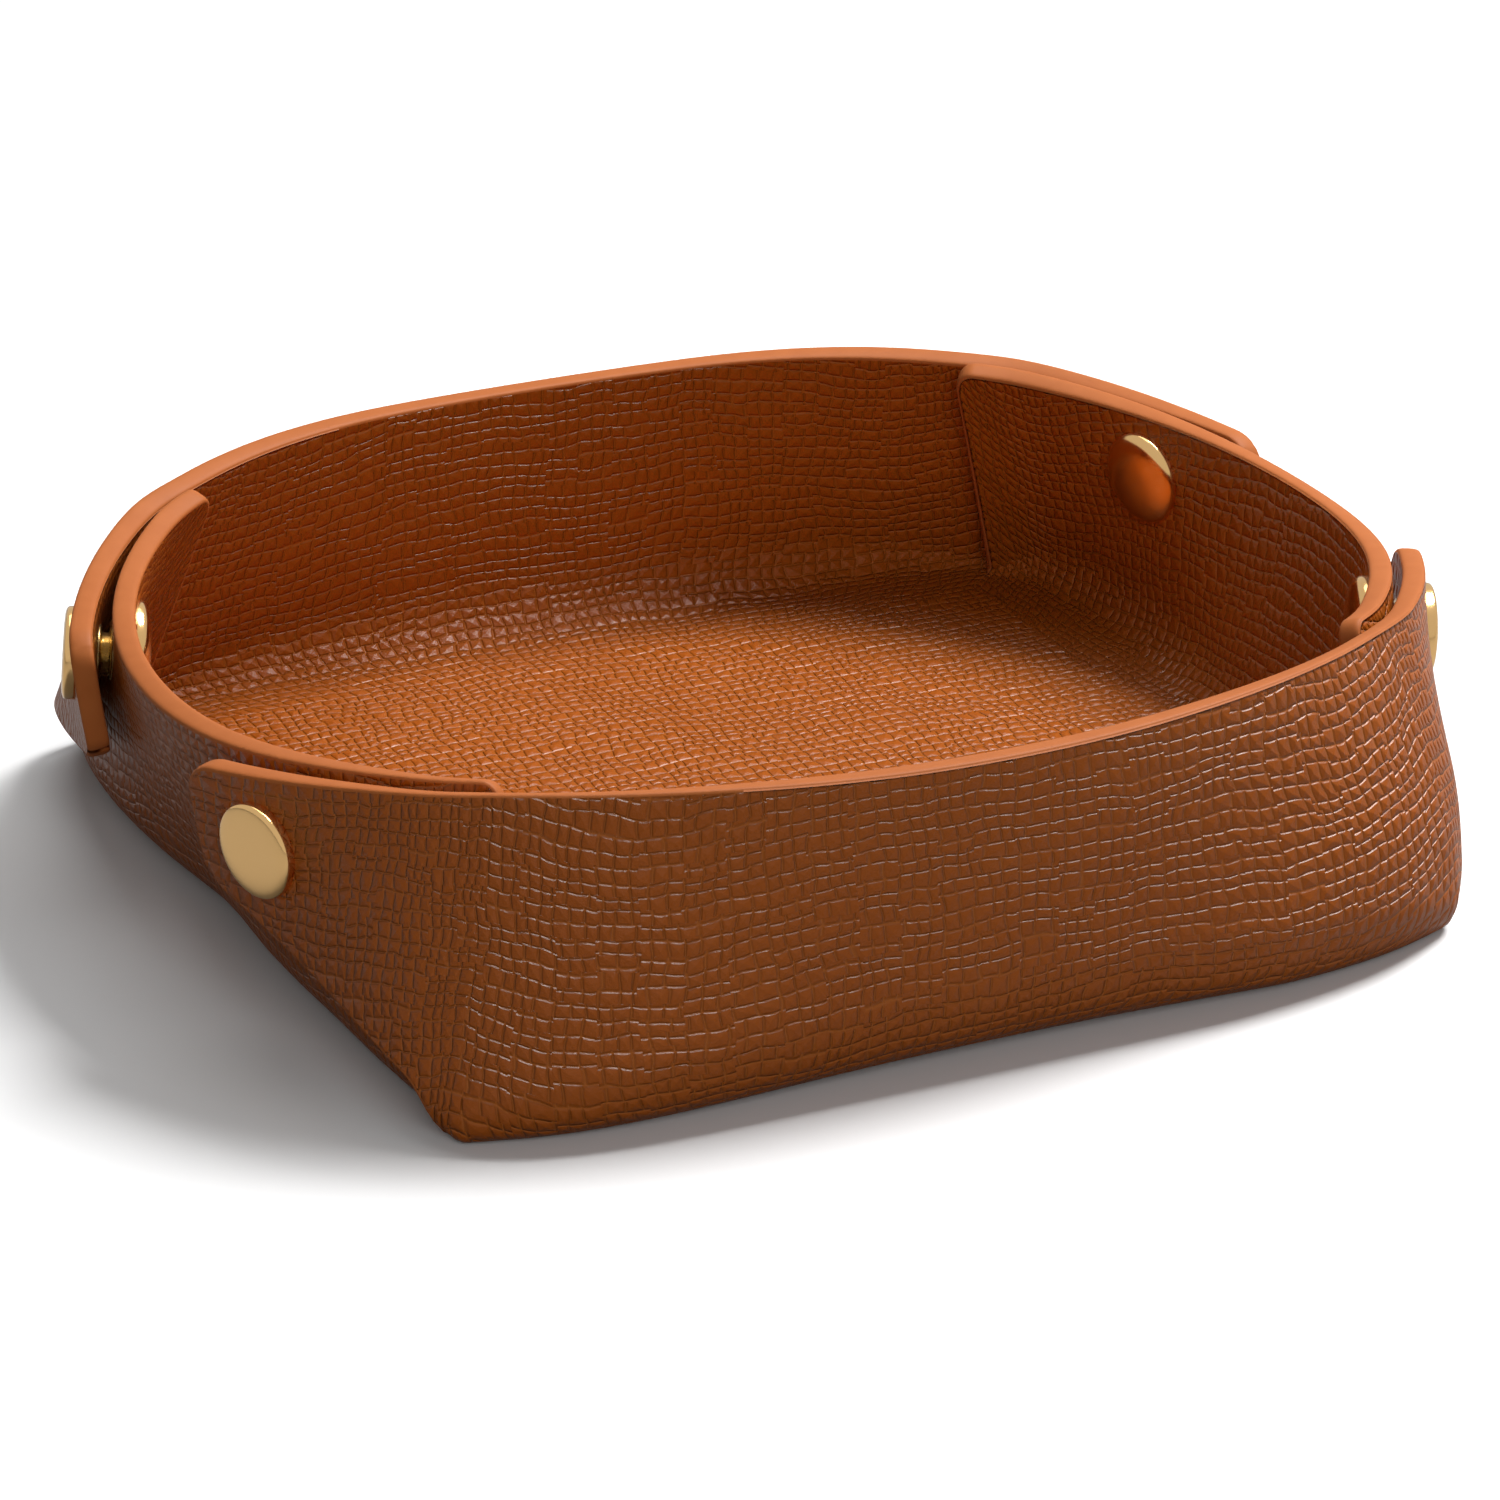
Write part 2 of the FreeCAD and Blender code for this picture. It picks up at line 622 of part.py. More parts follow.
def make_inner_cap(corner):
    """Domed cap on the inside of the side wall, its post running through into the stud."""
    places = (
        ("0", f"({INNER_SEAT} - Sheet.inner_cap_dome)"),
        ("Sheet.cap_radius", f"({INNER_SEAT} - Sheet.inner_cap_edge)"),
        ("Sheet.cap_radius", INNER_SEAT),
        ("Sheet.inner_post_radius", INNER_SEAT),
        ("Sheet.inner_post_radius", "Sheet.inner_post_top"),
        ("0", "Sheet.inner_post_top"),
    )
    revolved(f"{corner}_inner_cap", places, (0,), corner)


def check_document():
    """Stop if any object failed or any sub-part has no sound solid."""
    doc.recompute()
    for item in doc.Objects:
        if "Invalid" in item.State or "Error" in item.State:
            raise RuntimeError(f"{item.Label} failed: {item.State}")
    for node in nodes:
        shape = node.Shape
        if shape.isNull() or not shape.isValid() or not shape.Solids:
            raise RuntimeError(f"{node.Label} has no sound solid")


make_base()
make_walls()
make_ears()
for corner in CORNERS:
    make_outer_cap(corner)
    make_socket(corner)
    make_spring(corner)
    make_stud(corner)
    make_inner_cap(corner)
check_document()

os.makedirs("parts", exist_ok=True)
for node in nodes:
    node.Shape.exportStep(f"parts/{node.Label}.step")
    box = node.Shape.BoundBox
    print(node.Label, len(node.Shape.Solids), round(node.Shape.Volume, 1), box)
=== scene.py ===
"""Looks of a leather valet tray whose four corners wrap round and snap shut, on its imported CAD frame."""

import bmesh
import bpy
import numpy as np
from mathutils import Matrix


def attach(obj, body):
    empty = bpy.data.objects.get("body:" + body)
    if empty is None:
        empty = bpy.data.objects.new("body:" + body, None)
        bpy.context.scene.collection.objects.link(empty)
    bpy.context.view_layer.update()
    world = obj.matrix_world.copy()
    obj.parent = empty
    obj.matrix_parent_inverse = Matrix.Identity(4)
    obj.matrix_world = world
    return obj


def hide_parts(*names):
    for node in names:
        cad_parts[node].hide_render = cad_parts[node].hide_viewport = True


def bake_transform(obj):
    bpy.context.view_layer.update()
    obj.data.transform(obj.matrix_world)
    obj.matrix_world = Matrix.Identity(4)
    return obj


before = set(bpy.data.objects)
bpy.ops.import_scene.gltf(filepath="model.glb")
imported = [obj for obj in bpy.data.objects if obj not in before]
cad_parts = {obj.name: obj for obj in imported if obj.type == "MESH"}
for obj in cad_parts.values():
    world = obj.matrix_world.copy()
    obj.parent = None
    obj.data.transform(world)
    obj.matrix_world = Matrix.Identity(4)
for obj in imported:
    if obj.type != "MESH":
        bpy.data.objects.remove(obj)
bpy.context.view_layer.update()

MM = 0.001

# The leather, in millimetres: two hides glued flesh to flesh, cut square and painted round at the edge.
LEATHER = 3.6
HALF = LEATHER / 2
LAYER_GAP = 1.0
LAP = LEATHER + LAYER_GAP
EDGE_ROUND = 0.7
EDGE_SQUARENESS = 3.0
FLAP_ROUND = 4.0
EAR_LOW_ROUND = 3.0
PANEL_HALF = 74.5

# Wall sizes in millimetres and degrees, at the middle of a wall and at its corner.
BEND_MID, BEND_CORNER = 10.0, 0.8
SIDE_OUT_MID, SIDE_RISE_MID, SIDE_LEAN_MID = 25.6, 42.4, 17.9
FRONT_OUT_MID, FRONT_RISE_MID, FRONT_RISE_FAR, FRONT_LEAN_MID = 17.4, 48.2, 49.0, -4.5
CORNER_OUT, CORNER_RISE, CORNER_LEAN, CORNER_TURN = -8.5, 48.4, -21.5, 45.0
FRONT_CORNER_OUT = CORNER_OUT + LAP / np.cos(np.radians(CORNER_LEAN))

# Each size's way from the middle to the corner, as shares at six stations along half a wall.
ALONG = (0.0, 0.25, 0.43, 0.68, 0.84, 1.0)
BEND_SHARES = (0.0, 0.06, 0.18, 0.46, 0.7, 1.0)
SIDE_TURN_SHARES = (0.0, 0.318, 0.558, 0.864, 1.0, 1.0)
SIDE_OUT_SHARES = (0.0, 0.066, 0.202, 0.49, 0.72, 1.0)
SIDE_RISE_SHARES = (0.0, 0.167, 0.427, 0.758, 0.9, 1.0)
SIDE_LEAN_SHARES = (0.0, 0.147, 0.372, 0.822, 0.997, 1.0)
FRONT_TURN_SHARES = (0.0, 0.138, 0.28, 0.531, 0.702, 1.0)
FRONT_OUT_SHARES = (0.0, 0.046, 0.149, 0.423, 0.685, 1.0)
FRONT_RISE_SHARES = (0.0, 0.3, 0.8, 1.0, 0.7)
FRONT_LEAN_SHARES = (0.0, 0.088, 0.294, 0.712, 0.918, 1.0)

# How far the foot of a side wall draws in, and how much more it does so in front than behind, in
# millimetres, then the swell of its belly in degrees.
SIDE_TUCK = (-1.6, -2.2, -2.6, -0.9, 0.0, 0.0)
SIDE_SKEW = (0.0, 1.4, 2.7, 3.65, 3.0, 0.7)
SIDE_BELLY = (3.0, 3.0, 3.0, 2.0, 0.8, 0.0)

# The snaps: place on the side wall, then the caps and rings, in millimetres.
SNAP_ALONG = 0.43
SNAP_DROP = 11.6
CAP_RADIUS = 7.4
CAP_HEIGHT = 1.9
CAP_SQUARENESS = 6.0
INNER_CAP_RADIUS = 8.2
INNER_CAP_HEIGHT = 2.6
INNER_CAP_SQUARENESS = 2.8
CAP_SINK = 0.6
CAP_FOOT_BEVEL = 0.2
SOCKET_RADIUS = 4.8
SOCKET_CUP = 3.5
SOCKET_MOUTH = 3.05
SOCKET_HEIGHT = 1.9
STUD_RADIUS = 4.8
STUD_NECK = 1.7
STUD_HEAD = 2.12
STUD_HEIGHT = 1.75
SPRING_RADIUS = 2.75
SPRING_WIRE = 0.25
SPRING_SWEEP = 0.92
SPRING_BELOW_MOUTH = 0.6

# Each ear by its corner: signs of x and y, share along the side wall where it ends, how far its end
# stands off the wall, and how far its rim sinks there, both in millimetres.
EARS = {
    "front_left": (-1, 1, 0.27, 2.4, 1.0),
    "front_right": (1, 1, 0.3, 1.2, 0.6),
    "back_left": (-1, -1, 0.22, 2.6, 1.0),
    "back_right": (1, -1, 0.22, 1.6, 0.8),
}
EAR_END_HEIGHT = 18.0
EAR_LOW_POWER = 1.0
EAR_LIFT = 4.0
EAR_LIFT_REACH = 12.0
EAR_STAND_POWER = 2.5
SEAM_ALONG = 0.5
FOOT_EDGE_ROUND = 0.05

# The crease at a corner line: its reach and softness in millimetres, the share of softness lost at the lower
# edge, the part of a cosine that weighs its window and the places taken in it. Then the drop at which the
# hinge's line is taken, in millimetres.
CREASE_REACH = 16.0
CREASE_SOFT = 6.0
CREASE_LOW_LOSS = 0.55
CREASE_COSINE = 0.9
CREASE_PLACES = 9
HINGE_DROP = 20.0

# The front right corner of the base has settled inwards: from where on the diagonal, by what share and
# how high up.
SETTLE_FROM = 96.0
SETTLE_SHARE = 0.18
SETTLE_HEIGHT = 24.0

# Grid steps in millimetres, then points along a foot and a bend, across an edge, round a turned piece, up a
# cap and round a wire, how near points are merged, in metres, and the rounds in which a lean is found.
FINE_STEP = 0.5
FINE_REACH = 5.0
WALL_STEP = 1.5
FOOT_POINTS = 5
BEND_POINTS = 9
EDGE_POINTS = 11
TURN_POINTS = 97
CAP_POINTS = 40
WIRE_POINTS = 17
MERGE_REACH = 2e-6
LEAN_ROUNDS = 4


def spline(knots, values, ask, level_start):
    """Cubic spline through the station values: its slope is zero at the start where level_start is set,
    and its bending is zero at every other end, so a mirrored wall has no kink at its middle."""
    knots, values = np.asarray(knots), np.asarray(values)
    step, rise = np.diff(knots), np.diff(values)
    count = len(knots)
    matrix, right = np.eye(count), np.zeros(count)
    inner = np.arange(1, count - 1)
    matrix[inner, inner - 1] = step[:-1]
    matrix[inner, inner] = 2 * (step[:-1] + step[1:])
    matrix[inner, inner + 1] = step[1:]
    right[inner] = 6 * (rise[1:] / step[1:] - rise[:-1] / step[:-1])
    if level_start:
        matrix[0, :2] = 2 * step[0], step[0]
        right[0] = 6 * rise[0] / step[0]
    bending = np.linalg.solve(matrix, right)
    k = np.clip(np.searchsorted(knots, ask) - 1, 0, count - 2)
    x, h = ask - knots[k], step[k]
    slope = rise[k] / h - h * (2 * bending[k] + bending[k + 1]) / 6
    return values[k] + x * slope + x**2 * bending[k] / 2 + x**3 * (bending[k + 1] - bending[k]) / (6 * h)


def smooth_step(t):
    """3t^2 - 2t^3 between 0 and 1."""
    t = np.clip(t, 0, 1)
    return t * t * (3 - 2 * t)


def wall_sizes(wall, along):
    """Bend radius, turn, rim place, rim height, lean, foot tuck and belly at a signed share along a wall. The
    wall called rear is a side wall with its front and back swapped."""
    share = np.abs(along)

    def at(start, end, shares, level=True):
        return start + (end - start) * spline(ALONG, shares, share, level)

    bend = at(BEND_MID, BEND_CORNER, BEND_SHARES)
    if wall != "front":
        turn = at(0, CORNER_TURN, SIDE_TURN_SHARES, False)
        out = at(SIDE_OUT_MID, CORNER_OUT, SIDE_OUT_SHARES)
        rise = at(SIDE_RISE_MID, CORNER_RISE, SIDE_RISE_SHARES)
        lean = at(SIDE_LEAN_MID, CORNER_LEAN, SIDE_LEAN_SHARES)
        skew = spline(ALONG, SIDE_SKEW, share, False) * np.sign(along) * (1 if wall == "side" else -1)
        tuck = spline(ALONG, SIDE_TUCK, share, True) - skew
        belly = spline(ALONG, SIDE_BELLY, share, True)
    else:
        corner_share = (CORNER_RISE - FRONT_RISE_MID) / (FRONT_RISE_FAR - FRONT_RISE_MID)
        turn = at(0, CORNER_TURN, FRONT_TURN_SHARES, False)
        out = at(FRONT_OUT_MID, FRONT_CORNER_OUT, FRONT_OUT_SHARES)
        rise = at(FRONT_RISE_MID, FRONT_RISE_FAR, FRONT_RISE_SHARES + (corner_share,))
        lean = at(FRONT_LEAN_MID, CORNER_LEAN, FRONT_LEAN_SHARES)
        tuck = belly = np.zeros_like(share)
    return bend, np.radians(turn) * np.sign(along), out, rise, np.radians(lean), tuck, np.radians(belly)


def wall_section(wall, along):
    """One upright cut through the middle of a wall's leather: turn, foot's reach, height and radius of the
    bend, lean at the bottom and top of the wall, ends of the wall, its length and the length of the bend's
    arc. The leans are found by turns, as they depend on the ends and the ends on them."""
    bend, turn, out, rise, lean, tuck, belly = wall_sizes(wall, along)
    high = bend + LEATHER
    radius = bend + HALF
    reach = out - (high + (rise - high) * np.sin(lean)) / np.cos(lean) - tuck
    low, top = lean + belly, lean - belly
    for _ in range(LEAN_ROUNDS):
        foot = np.stack([reach + radius * np.cos(low), high - radius * np.sin(low)])
        rim = np.stack([out - HALF * np.cos(top), rise + HALF * np.sin(top)])
        chord = np.arctan2(*(rim - foot))
        low, top = chord + belly, chord - belly
    return turn, reach, high, radius, low, top, foot, rim, np.hypot(*(rim - foot)), radius * (np.pi / 2 - low)


def wall_middle(wall, along, climb, stand=0.0):
    """Middle of the leather of the right or the front wall, in millimetres.
    climb runs 0 to 1 along the flat foot, 1 to 2 round the bend and 2 to 3 up the wall. The foot is a
    straight line, the bend an arc about a level axis, and the wall a cubic whose ends lean by the chord's
    lean plus and minus the belly. stand moves the point level out of the wall until it stands that far off
    it."""
    turn, reach, high, radius, low, top, foot, rim, length, _ = wall_section(wall, along)
    flat, bent, up = np.clip(climb, 0, 1), np.clip(climb - 1, 0, 1), np.maximum(climb - 2, 0)
    angle = -np.pi / 2 + bent * (np.pi / 2 - low)
    start, end = 2 * up**3 - 3 * up**2 + 1, 3 * up**2 - 2 * up**3
    leave, arrive = (up**3 - 2 * up**2 + up) * length, (up**3 - up**2) * length
    wall_x = start * foot[0] + end * rim[0] + leave * np.sin(low) + arrive * np.sin(top)
    wall_z = start * foot[1] + end * rim[1] + leave * np.cos(low) + arrive * np.cos(top)
    bend_x, bend_z = reach * flat + radius * np.cos(angle), high + radius * np.sin(angle)
    x = np.where(up > 0, wall_x, bend_x) + stand / np.cos(low + (top - low) * up)
    z = np.where(up > 0, wall_z, bend_z)
    far, side = PANEL_HALF + x * np.cos(turn), along * PANEL_HALF + x * np.sin(turn)
    place = (side, -far, z) if wall == "front" else (far, side, z)
    return np.stack(np.broadcast_arrays(*place), -1)


def drop_at(wall, along, climb):
    """Millimetres from the rim down the leather to a climb."""
    _, reach, *_, length, arc = wall_section(wall, along)
    up, bent, flat = np.maximum(climb - 2, 0), np.clip(climb - 1, 0, 1), np.clip(climb, 0, 1)
    return (1 - up) * length + (1 - bent) * arc + (1 - flat) * reach


def climb_at(wall, along, drop):
    """Climb of a place on the wall or the bend, from its way down from the rim in millimetres."""
    *_, length, arc = wall_section(wall, along)
    return np.where(drop < length, 3 - drop / length, np.maximum(2 - (drop - length) / arc, 1))


def surface_normals(middle):
    """Unit normals of a grid of points: the cross product of its two directions of travel."""
    normal = np.cross(np.gradient(middle, axis=0), np.gradient(middle, axis=1))
    return normal / np.linalg.norm(normal, axis=-1, keepdims=True)


def rounded_corner(off_end, off_rim, radius):
    """Moves grid points near a flap's corner so that its outline is a quarter circle: with x and y the shares
    of the radius left to each edge, x becomes x sqrt(1 - y^2/2) and y becomes y sqrt(1 - x^2/2)."""
    x, y = np.clip(1 - off_end / radius, 0, 1), np.clip(1 - off_rim / radius, 0, 1)
    near = (x > 0) & (y > 0)
    end = np.where(near, radius * (1 - x * np.sqrt(1 - y**2 / 2)), off_end)
    rim = np.where(near, radius * (1 - y * np.sqrt(1 - x**2 / 2)), off_rim)
    return end, rim


def steps(start, stop, step):
    """Evenly spaced values from start to stop, about step apart."""
    return np.linspace(start, stop, max(2, int(round(abs(stop - start) / step)) + 1))


def steps_fine_at_end(start, stop):
    """Wide steps from start, then fine ones over the last few millimetres before stop."""
    way = np.sign(stop - start)
    return np.concatenate([steps(start, stop - way * FINE_REACH, WALL_STEP)[:-1],
                           steps(stop - way * FINE_REACH, stop, FINE_STEP)])


def grid_faces(rows, columns, first=0, flip=False):
    """Corner numbers of the quads of a grid of points, row by row."""
    number = first + np.arange(rows * columns).reshape(rows, columns)
    quads = np.stack([number[:-1, :-1], number[1:, :-1], number[1:, 1:], number[:-1, 1:]], -1)
    quads = quads.reshape(-1, 4)
    return quads[:, ::-1] if flip else quads


def settled(points):
    """The leather as it has settled: beyond a line across the front right corner, points move back along
    the diagonal by a share of their way past it, which fades out with height."""
    past = np.clip((points[:, 0] - points[:, 1]) / np.sqrt(2) - SETTLE_FROM, 0, None)
    back = past * SETTLE_SHARE * (1 - smooth_step(points[:, 2] / SETTLE_HEIGHT)) / np.sqrt(2)
    return points + back[:, None] * np.array((-1.0, 1.0, 0.0))


class Hide:
    """Points, quads, flat-pattern places and material numbers of one leather piece, gathered by grids."""

    def __init__(self):
        self.points, self.faces, self.flats, self.kinds, self.count = [], [], [], [], 0

    def add(self, points, flat, kind, flip):
        """Adds one grid of points with its flat-pattern places and one material number."""
        rows, columns = points.shape[:2]
        quads = grid_faces(rows, columns, self.count, flip)
        self.points.append(points.reshape(-1, 3))
        self.flats.append(flat.reshape(-1, 3))
        self.faces.append(quads)
        self.kinds.append(np.full(len(quads), kind))
        self.count += rows * columns

    def faces_of(self, middle, normal, pattern, flip):
        """Outer and inner faces half the leather's thickness to either side of its middle."""
        for side, sign in ((0, 1), (1, -1)):
            flat = np.concatenate([pattern, np.full(pattern.shape[:2] + (1,), float(side))], -1)
            self.add(middle + normal * HALF * sign, flat, side, flip if sign > 0 else not flip)

    def edge_of(self, middle, normal, inward, pattern, bulge, flip):
        """Painted edge along a free border: half a superellipse from the outer to the inner face,
        its crown standing out by the edge's round."""
        along = np.gradient(middle, axis=0)
        outward = np.cross(along, normal)
        outward /= np.linalg.norm(outward, axis=-1, keepdims=True)
        sign = np.where((outward * inward).sum() > 0, -1.0, 1.0)
        turn = np.linspace(0, np.pi, EDGE_POINTS)[None, :, None]
        across = np.sign(np.cos(turn)) * np.abs(np.cos(turn)) ** (2 / EDGE_SQUARENESS)
        crown = np.abs(np.sin(turn)) ** (2 / EDGE_SQUARENESS)
        points = middle[:, None] + normal[:, None] * HALF * across
        points = points + outward[:, None] * sign * crown * np.asarray(bulge).reshape(-1, 1, 1)
        flat = np.concatenate([pattern, np.full((len(pattern), 1), 2.0)], -1)
        flat = np.repeat(flat[:, None], points.shape[1], 1)
        self.add(points, flat, 2, (sign < 0) != flip)

    def mesh(self, name, materials):
        """One mesh object at the origin, in metres, doubles merged, smooth."""
        points, faces = settled(np.concatenate(self.points)) * MM, np.concatenate(self.faces)
        data = bpy.data.meshes.new(name)
        data.from_pydata(points, [], faces.tolist())
        data.attributes.new("flat", "FLOAT_VECTOR", "CORNER").data.foreach_set(
            "vector", np.concatenate(self.flats)[faces].astype(np.float32).ravel())
        for material in materials:
            data.materials.append(material)
        data.polygons.foreach_set("material_index", np.concatenate(self.kinds).astype(np.int32))
        return finished(name, data)


def finished(name, data):
    """Merges doubles, smooths the faces and puts the mesh into the scene."""
    work = bmesh.new()
    work.from_mesh(data)
    bmesh.ops.remove_doubles(work, verts=work.verts, dist=MERGE_REACH)
    work.to_mesh(data)
    work.free()
    data.polygons.foreach_set("use_smooth", np.ones(len(data.polygons), bool))
    piece = bpy.data.objects.new(name, data)
    bpy.context.scene.collection.objects.link(piece)
    return piece


def mirrored(points, x, y):
    """Points with their x and y signs set."""
    return points * np.array((x, y, 1.0))


# The grid that all walls share: places along a wall, climbs of the foot and the bend, then up to the rim on
# a wall of about this length.
COLUMNS = np.concatenate([-steps_fine_at_end(0, PANEL_HALF)[:0:-1], steps_fine_at_end(0, PANEL_HALF)])
FOOT_CLIMB = np.concatenate([np.linspace(0, 1, FOOT_POINTS)[:-1], np.linspace(1, 2, BEND_POINTS)[:-1]])
WALL_LENGTH = 44.0
WALL_OFF_RIM = steps_fine_at_end(WALL_LENGTH, 0)
RIM_CLIMB = 3 - (WALL_OFF_RIM * (WALL_LENGTH - EDGE_ROUND) / WALL_LENGTH + EDGE_ROUND) / WALL_LENGTH
WALL_CLIMB = np.concatenate([FOOT_CLIMB, RIM_CLIMB])


def side_flap(hide, x):
    """A side wall: a flap with a free rim, free upright ends and rounded top corners."""
    rim_climb = 3 - WALL_OFF_RIM / WALL_LENGTH
    climb = np.concatenate([FOOT_CLIMB, rim_climb])[None, :] + 0 * COLUMNS[:, None]
    off_rim = np.where(climb < 2, WALL_LENGTH, (3 - climb) * WALL_LENGTH)
    off_end = PANEL_HALF - np.abs(COLUMNS)[:, None] + 0 * climb
    off_end, off_rim = rounded_corner(off_end, off_rim, FLAP_ROUND)
    off_end = off_end + EDGE_ROUND * smooth_step(climb / 2)
    off_rim = off_rim * (WALL_LENGTH - EDGE_ROUND) / WALL_LENGTH + EDGE_ROUND
    along = np.sign(COLUMNS)[:, None] * (PANEL_HALF - off_end) / PANEL_HALF
    climb = np.where(climb < 2, climb, 3 - off_rim / WALL_LENGTH)
    middle = mirrored(wall_middle("side", along, climb), x, 1)
    normal = surface_normals(middle)
    flip = (normal[len(COLUMNS) // 2, -1, 0] * x) < 0
    normal = -normal if flip else normal
    flat = drop_at("side", along, 0 * climb) - drop_at("side", along, climb)
    pattern = np.stack([along * PANEL_HALF, x * (PANEL_HALF + flat)], -1)
    hide.faces_of(middle, normal, pattern, flip)
    border = [(0, j) for j in range(climb.shape[1])]
    border += [(i, climb.shape[1] - 1) for i in range(1, len(COLUMNS))]
    border += [(len(COLUMNS) - 1, j) for j in range(climb.shape[1] - 2, -1, -1)]
    free_border(hide, middle, normal, pattern, border, smooth_step(climb / 2) * EDGE_ROUND, flip)


def free_border(hide, middle, normal, pattern, border, bulge, flip):
    """Runs the painted edge round a list of grid places."""
    i, j = np.array(border).T
    inner_i = np.clip(i, 1, middle.shape[0] - 2)
    inner_j = np.clip(j, 1, middle.shape[1] - 2)
    inward = middle[inner_i, inner_j] - middle[i, j]
    hide.edge_of(middle[i, j], normal[i, j], inward, pattern[i, j], bulge[i, j], flip)


def base_panel(hide):
    """The flat base, on the same columns as the walls that rise from it."""
    x, y = np.meshgrid(COLUMNS, COLUMNS, indexing="ij")
    middle = np.stack([x, y, np.full_like(x, HALF)], -1)
    normal = np.zeros_like(middle)
    normal[..., 2] = -1
    hide.faces_of(middle, normal, np.stack([x, y], -1), True)


def front_middle(hide, y):
    """The middle stretch of the front or back wall, between the seams of its two corner pieces."""
    columns = COLUMNS[np.abs(COLUMNS) <= SEAM_ALONG * PANEL_HALF + WALL_STEP]
    climb = WALL_CLIMB[None, :] + 0 * columns[:, None]
    along = columns[:, None] / PANEL_HALF + 0 * climb
    middle = mirrored(wall_middle("front", along, climb), 1, y)
    flat = drop_at("front", along, 0 * climb) - drop_at("front", along, climb)
    normal = surface_normals(middle)
    flip = normal[len(columns) // 2, -1, 1] * y > 0
    normal = -normal if flip else normal
    pattern = np.stack([columns[:, None] + 0 * flat, -y * (PANEL_HALF + flat)], -1)
    keep = slice(1, -1)
    middle, normal, pattern = middle[keep], normal[keep], pattern[keep]
    hide.faces_of(middle, normal, pattern, flip)
    border = [(i, climb.shape[1] - 1) for i in range(len(middle))]
    free_border(hide, middle, normal, pattern, border, np.full(climb.shape, EDGE_ROUND), flip)


def corner_middle(corner, travel, drop):
    """Middle of a corner piece of the front right kind. travel is negative on the front wall and positive on
    the ear, in millimetres from the corner line; drop is the way down from the rim. The ear is the side
    wall's surface moved out by the lap, and further by a power of the share of the way to its end."""
    _, y, end, stand, sink = EARS[corner]
    wall = "side" if y > 0 else "rear"
    front_along = 1 + np.minimum(travel, 0) / PANEL_HALF
    ear_along = -1 + np.maximum(travel, 0) / PANEL_HALF
    front = wall_middle("front", front_along, climb_at("front", front_along, drop))
    share = np.clip(travel / ((1 - end) * PANEL_HALF), 0, None)
    ear = wall_middle(wall, ear_along, climb_at(wall, ear_along, drop + sink * share**2),
                      LAP + stand * share**EAR_STAND_POWER)
    return np.where((travel > 0)[..., None], ear, front)


def soft_corner(corner, travel, drop, soft):
    """The corner piece with its crease softened: each point is the mean over a window of travel that is
    widest at the corner line, with a raised-cosine weight. soft scales the window."""
    width = CREASE_SOFT * (1 - smooth_step(np.abs(travel) / CREASE_REACH)) * soft
    offsets = np.linspace(-1, 1, CREASE_PLACES)
    weights = 1 + np.cos(np.pi * offsets * CREASE_COSINE)
    points = sum(w * corner_middle(corner, travel + o * width, drop) for o, w in zip(offsets, weights))
    return points / weights.sum()


